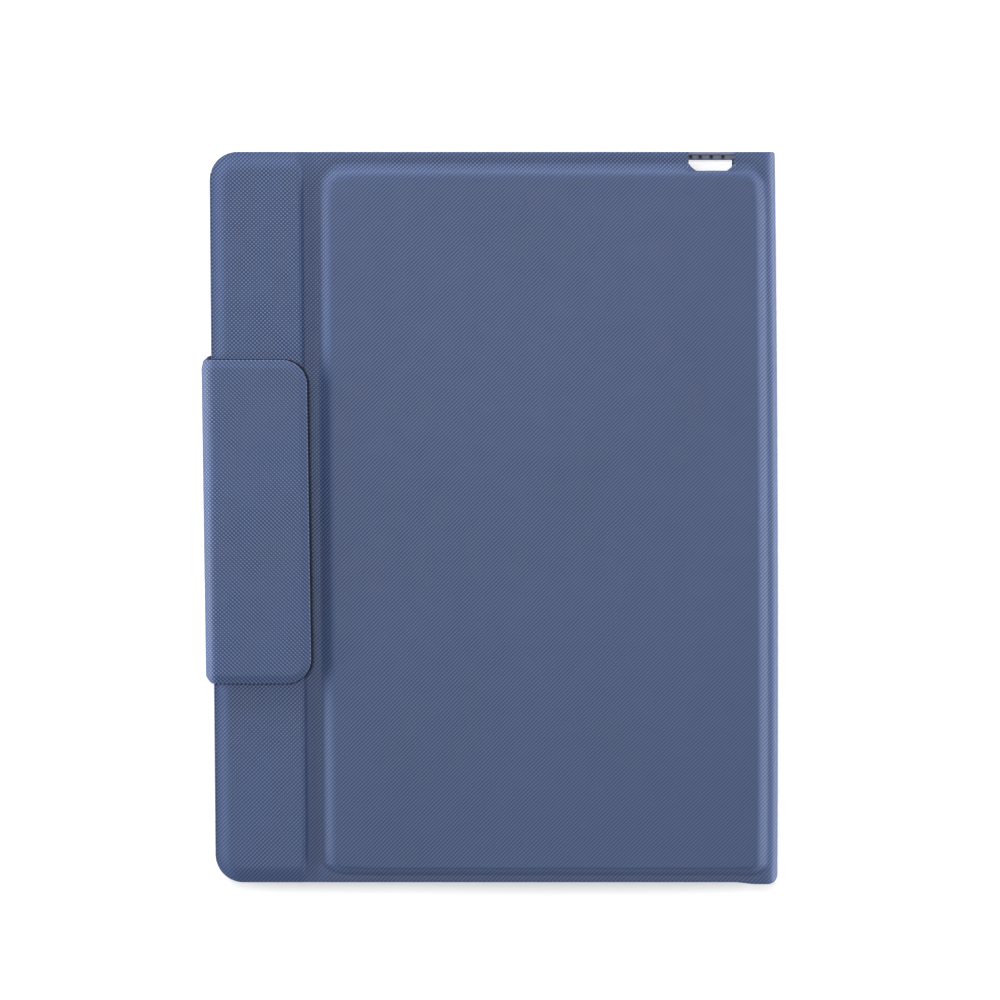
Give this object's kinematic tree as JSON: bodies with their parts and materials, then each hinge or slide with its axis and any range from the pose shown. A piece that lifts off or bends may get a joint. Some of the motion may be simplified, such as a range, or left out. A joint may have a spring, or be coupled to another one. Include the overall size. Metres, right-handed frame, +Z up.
{
  "type": "tablet keyboard case",
  "caption": "Folding folio case with a built-in keyboard, a spring holder for a tablet, a stand fold and a wrap-round closing flap.",
  "frame": {"origin": "on the table under the middle of the closed case's outline", "axes": "+Z up out of the cover, +Y along the long side, +X towards the spine; the flap is at -X"},
  "size_m": [0.203, 0.2584, 0.024],
  "materials": {
    "blue_skin": "textured",
    "blue_lining": "brushed microfibre",
    "grey_board": "pressed fibre",
    "pale_foam": "soft foam",
    "grey_plastic": "matte",
    "key_plastic": "matte",
    "dark_rubber": "matte",
    "pale_tape": "woven",
    "green_board": "solder mask",
    "foil": "satin",
    "steel": "satin",
    "clear_lens": "clear"
  },
  "bodies": {
    "base": {"base_skin": "blue_skin", "base_board": "grey_board", "base_lining": "blue_lining", "keyboard_tray": "grey_plastic", "keyboard_deck": "grey_plastic", "membrane_sheet": "dark_rubber", "circuit_board": "green_board", "battery": "foil", "usb_port": "steel", "status_light": "clear_lens", "channel_rail": "grey_plastic", "channel_magnet_left": "steel", "channel_magnet_right": "steel"},
    "spine": {"spine_skin": "blue_skin", "spine_board": "grey_board", "spine_lining": "blue_lining", "lower_crease": "blue_skin", "upper_crease": "blue_skin"},
    "back_panel": {"back_skin": "blue_skin", "back_board": "grey_board", "back_foam": "pale_foam", "back_lining": "blue_lining", "slot_trim": "pale_tape"},
    "holder": {"strip_skin": "blue_skin", "strip_board": "grey_board", "strip_lining": "blue_lining", "strip_magnet_left": "steel", "strip_magnet_right": "steel", "groove_crease": "blue_skin", "holder_plate": "grey_plastic", "top_claw_left": "grey_plastic", "top_claw_right": "grey_plastic"},
    "arm_left": {"arm_left": "grey_plastic", "arm_pad_left": "dark_rubber", "arm_spring_left": "steel"},
    "arm_right": {"arm_right": "grey_plastic", "arm_pad_right": "dark_rubber", "arm_spring_right": "steel"},
    "flap_wall": {"flap_wall": "blue_skin", "flap_lower_crease": "blue_skin"},
    "flap_top": {"flap_skin": "blue_skin", "flap_board": "grey_board", "flap_lining": "blue_lining", "flap_magnet_left": "steel", "flap_magnet_right": "steel", "flap_upper_crease": "blue_skin"},
    "power_switch": {"power_switch": "dark_rubber"},
    "keys_front_left": {"keys_front_left": "key_plastic"},
    "space_bar": {"space_bar": "key_plastic"},
    "keys_front_right": {"keys_front_right": "key_plastic"},
    "keys_shift_left": {"keys_shift_left": "key_plastic"},
    "keys_shift_right": {"keys_shift_right": "key_plastic"},
    "keys_home_left": {"keys_home_left": "key_plastic"},
    "keys_home_right": {"keys_home_right": "key_plastic"},
    "enter_key": {"enter_key": "key_plastic"},
    "keys_letter_left": {"keys_letter_left": "key_plastic"},
    "keys_letter_right": {"keys_letter_right": "key_plastic"},
    "keys_number_left": {"keys_number_left": "key_plastic"},
    "keys_number_right": {"keys_number_right": "key_plastic"},
    "keys_function": {"keys_function": "key_plastic"}
  },
  "joints": [
    {"name": "lower_spine_fold", "type": "hinge", "parent": "base", "child": "spine", "pos_m": [0.1002, 0, 0.002], "axis": [0, 1, 0], "range_deg": [0, 90], "deforming": ["lower_crease"]},
    {"name": "upper_spine_fold", "type": "hinge", "parent": "spine", "child": "back_panel", "pos_m": [0.1002, 0, 0.0195], "axis": [0, 1, 0], "range_deg": [0, 62], "deforming": ["upper_crease"]},
    {"name": "groove_fold", "type": "hinge", "parent": "back_panel", "child": "holder", "pos_m": [-0.0618, 0, 0.0197], "axis": [0, 1, 0], "range_deg": [0, 38.5], "deforming": ["groove_crease"]},
    {"name": "arm_left_slide", "type": "slide", "parent": "holder", "child": "arm_left", "axis": [0, 1, 0], "range_m": [0, 0.003], "stiffness_N_per_m": 600, "deforming": ["arm_spring_left"]},
    {"name": "arm_right_slide", "type": "slide", "parent": "holder", "child": "arm_right", "axis": [0, -1, 0], "range_m": [0, 0.003], "stiffness_N_per_m": 600, "deforming": ["arm_spring_right"]},
    {"name": "flap_wall_fold", "type": "hinge", "parent": "base", "child": "flap_wall", "pos_m": [-0.1005, 0, 0.0024], "axis": [0, -1, 0], "range_deg": [0, 90], "deforming": ["flap_lower_crease"]},
    {"name": "flap_top_fold", "type": "hinge", "parent": "flap_wall", "child": "flap_top", "pos_m": [-0.1003, 0, 0.0224], "axis": [0, -1, 0], "range_deg": [0, 90], "deforming": ["flap_upper_crease"]},
    {"name": "power_switch_slide", "type": "slide", "parent": "base", "child": "power_switch", "axis": [0, -1, 0], "range_m": [0, 0.002]},
    {"name": "keys_front_left_press", "type": "slide", "parent": "base", "child": "keys_front_left", "axis": [0, 0, -1], "range_m": [0, 0.0013], "stiffness_N_per_m": 400},
    {"name": "space_bar_press", "type": "slide", "parent": "base", "child": "space_bar", "axis": [0, 0, -1], "range_m": [0, 0.0013], "stiffness_N_per_m": 400},
    {"name": "keys_front_right_press", "type": "slide", "parent": "base", "child": "keys_front_right", "axis": [0, 0, -1], "range_m": [0, 0.0013], "stiffness_N_per_m": 400},
    {"name": "keys_shift_left_press", "type": "slide", "parent": "base", "child": "keys_shift_left", "axis": [0, 0, -1], "range_m": [0, 0.0013], "stiffness_N_per_m": 400},
    {"name": "keys_shift_right_press", "type": "slide", "parent": "base", "child": "keys_shift_right", "axis": [0, 0, -1], "range_m": [0, 0.0013], "stiffness_N_per_m": 400},
    {"name": "keys_home_left_press", "type": "slide", "parent": "base", "child": "keys_home_left", "axis": [0, 0, -1], "range_m": [0, 0.0013], "stiffness_N_per_m": 400},
    {"name": "keys_home_right_press", "type": "slide", "parent": "base", "child": "keys_home_right", "axis": [0, 0, -1], "range_m": [0, 0.0013], "stiffness_N_per_m": 400},
    {"name": "enter_key_press", "type": "slide", "parent": "base", "child": "enter_key", "axis": [0, 0, -1], "range_m": [0, 0.0013], "stiffness_N_per_m": 400},
    {"name": "keys_letter_left_press", "type": "slide", "parent": "base", "child": "keys_letter_left", "axis": [0, 0, -1], "range_m": [0, 0.0013], "stiffness_N_per_m": 400},
    {"name": "keys_letter_right_press", "type": "slide", "parent": "base", "child": "keys_letter_right", "axis": [0, 0, -1], "range_m": [0, 0.0013], "stiffness_N_per_m": 400},
    {"name": "keys_number_left_press", "type": "slide", "parent": "base", "child": "keys_number_left", "axis": [0, 0, -1], "range_m": [0, 0.0013], "stiffness_N_per_m": 400},
    {"name": "keys_number_right_press", "type": "slide", "parent": "base", "child": "keys_number_right", "axis": [0, 0, -1], "range_m": [0, 0.0013], "stiffness_N_per_m": 400},
    {"name": "keys_function_press", "type": "slide", "parent": "base", "child": "keys_function", "axis": [0, 0, -1], "range_m": [0, 0.0013], "stiffness_N_per_m": 400}
  ],
  "couplings": [
    {"joint": "groove_fold", "follows": "upper_spine_fold", "ratio": 0.62}
  ]
}
